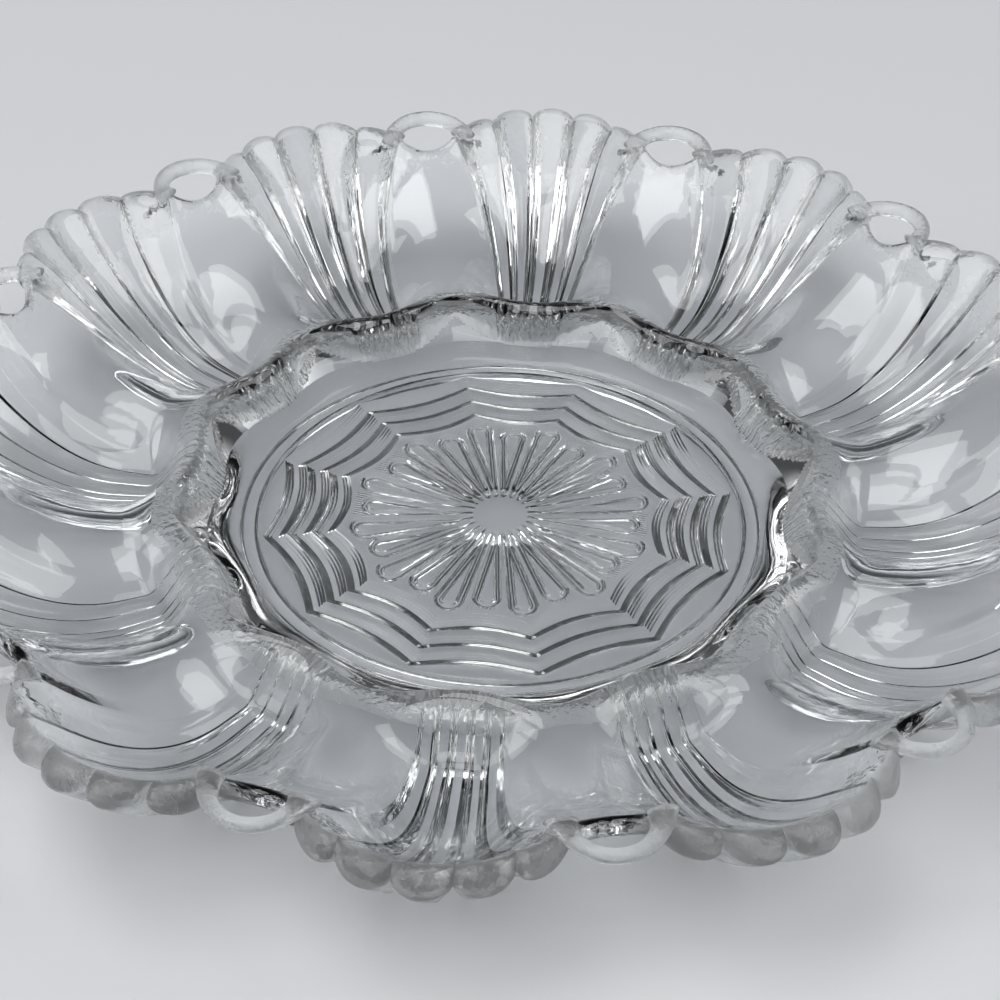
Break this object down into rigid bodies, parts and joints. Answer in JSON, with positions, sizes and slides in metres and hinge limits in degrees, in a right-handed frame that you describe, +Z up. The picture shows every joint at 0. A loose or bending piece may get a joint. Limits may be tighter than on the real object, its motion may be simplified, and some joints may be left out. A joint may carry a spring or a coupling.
{
  "type": "deviled egg platter",
  "caption": "Round pressed glass platter with fluted egg wells around a flat patterned centre, smooth dividers between them and small pierced loops in a scalloped rim.",
  "frame": {"origin": "centre of the foot ring's resting circle, on the table", "axes": "+Z up through the middle of the plate; +X through the middle of one rim loop"},
  "size_m": [0.2724, 0.2724, 0.0375],
  "materials": {
    "clear_glass": "clear, fire polished"
  },
  "bodies": {
    "root": {"foot_ring": "clear_glass", "centre_margin": "clear_glass", "sunburst": "clear_glass", "collar": "clear_glass", "web_ring_1": "clear_glass", "web_ring_2": "clear_glass", "web_ring_3": "clear_glass", "well_1": "clear_glass", "well_2": "clear_glass", "well_3": "clear_glass", "well_4": "clear_glass", "well_5": "clear_glass", "well_6": "clear_glass", "well_7": "clear_glass", "well_8": "clear_glass", "well_9": "clear_glass", "well_10": "clear_glass", "well_11": "clear_glass", "well_12": "clear_glass", "divider_1": "clear_glass", "divider_2": "clear_glass", "divider_3": "clear_glass", "divider_4": "clear_glass", "divider_5": "clear_glass", "divider_6": "clear_glass", "divider_7": "clear_glass", "divider_8": "clear_glass", "divider_9": "clear_glass", "divider_10": "clear_glass", "divider_11": "clear_glass", "divider_12": "clear_glass", "loop_1": "clear_glass", "loop_2": "clear_glass", "loop_3": "clear_glass", "loop_4": "clear_glass", "loop_5": "clear_glass", "loop_6": "clear_glass", "loop_7": "clear_glass", "loop_8": "clear_glass", "loop_9": "clear_glass", "loop_10": "clear_glass", "loop_11": "clear_glass", "loop_12": "clear_glass"}
  },
  "joints": []
}
